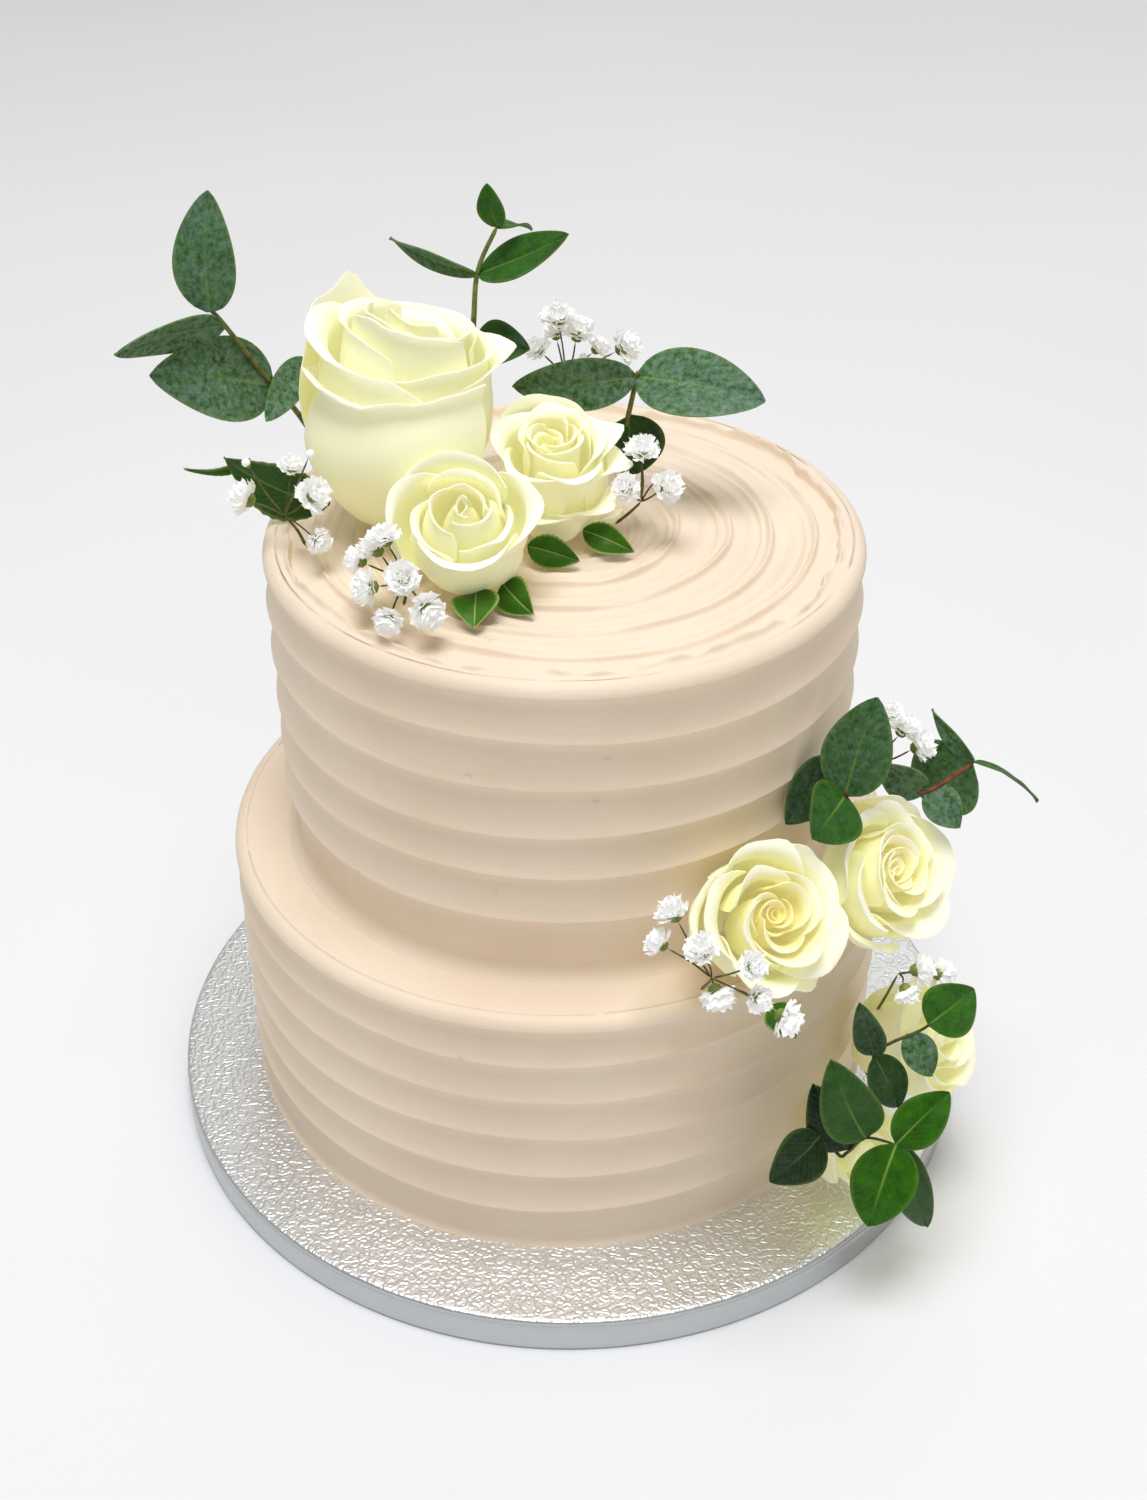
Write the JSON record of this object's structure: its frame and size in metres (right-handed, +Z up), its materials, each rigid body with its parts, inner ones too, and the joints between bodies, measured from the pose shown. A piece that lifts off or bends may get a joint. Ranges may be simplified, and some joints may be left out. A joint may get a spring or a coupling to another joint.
{
  "type": "tiered cake",
  "caption": "Tiered round cake in combed buttercream on a foil-covered board, dressed with fresh roses, eucalyptus and gypsophila on top and down one side.",
  "frame": {"origin": "centre of the board's underside", "axes": "+Z up, +X to the right as the cake is seen from its front, +Y away from the front"},
  "size_m": [0.2618, 0.254, 0.2901],
  "materials": {
    "silver_foil": "embossed foil, soft sheen",
    "buttercream": "soft matt with a faint fatty sheen",
    "rose_petal": "velvety matt",
    "eucalyptus_leaf": "waxy satin",
    "rose_leaf": "smooth, slightly glossy",
    "gypsophila_blossom": "matt"
  },
  "bodies": {
    "root": {"board": "silver_foil", "bottom_tier": "buttercream", "top_tier": "buttercream", "rose_tall": "rose_petal", "rose_front": "rose_petal", "rose_right": "rose_petal", "rose_ledge_left": "rose_petal", "rose_ledge_right": "rose_petal", "rose_low_right": "rose_petal", "rose_low_left": "rose_petal", "eucalyptus_top_left": "eucalyptus_leaf", "eucalyptus_top_middle": "eucalyptus_leaf", "eucalyptus_top_right": "eucalyptus_leaf", "eucalyptus_ledge_left": "eucalyptus_leaf", "eucalyptus_ledge_right": "eucalyptus_leaf", "eucalyptus_low_right": "eucalyptus_leaf", "eucalyptus_low_left": "eucalyptus_leaf", "rose_leaf_left": "rose_leaf", "sepal_left": "rose_leaf", "rose_leaf_front": "rose_leaf", "rose_leaf_front_right": "rose_leaf", "rose_leaf_middle": "rose_leaf", "rose_leaf_right": "rose_leaf", "rose_leaf_ledge": "rose_leaf", "gypsophila_top_left": "gypsophila_blossom", "gypsophila_front_left": "gypsophila_blossom", "gypsophila_right": "gypsophila_blossom", "gypsophila_top_back": "gypsophila_blossom", "gypsophila_ledge_left": "gypsophila_blossom", "gypsophila_ledge_back": "gypsophila_blossom", "gypsophila_low": "gypsophila_blossom"}
  },
  "joints": []
}
